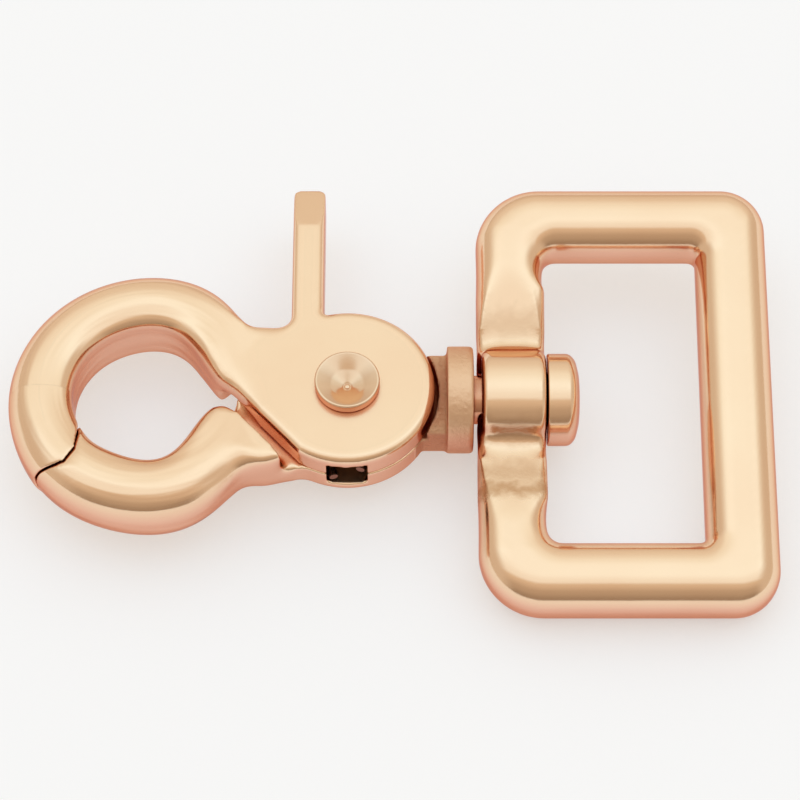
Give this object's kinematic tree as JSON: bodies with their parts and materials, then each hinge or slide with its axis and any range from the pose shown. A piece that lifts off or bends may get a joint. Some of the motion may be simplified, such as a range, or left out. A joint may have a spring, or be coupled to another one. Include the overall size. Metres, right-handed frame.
{
  "type": "scissor snap hook",
  "caption": "Scissor-action snap hook: spring-loaded jaws form a round eye, opened by a thumb lever, with a swivel-mounted square strap loop.",
  "frame": {"origin": "centre of the pivot, half way between the two cheeks and on the swivel's axis", "axes": "+X along the swivel axis towards the square loop, +Y towards the tip of the thumb lever, +Z along the pivot towards the dished rivet head"},
  "size_m": [0.0627, 0.0383, 0.0104],
  "materials": {
    "plated_casting": "polished rose gold plate",
    "plated_pin": "polished rose gold plate",
    "spring_wire": "drawn spring wire"
  },
  "bodies": {
    "hook": {"fixed_jaw": "plated_casting", "pivot_rivet": "plated_pin", "torsion_spring": "spring_wire", "swivel_pin": "plated_pin"},
    "lever": {"lever_jaw": "plated_casting"},
    "loop": {"square_loop": "plated_casting"}
  },
  "joints": [
    {"name": "jaw_pivot", "type": "hinge", "parent": "hook", "child": "lever", "pos_m": [0, 0, 0], "axis": [0, 0, -1], "range_deg": [0, 32], "stiffness_Nm_per_rad": 0.125, "springref_deg": -22.92, "deforming": ["torsion_spring"]},
    {"name": "loop_swivel", "type": "hinge", "parent": "hook", "child": "loop", "pos_m": [0.0134, 0, 0], "axis": [1, 0, 0], "continuous": true}
  ]
}
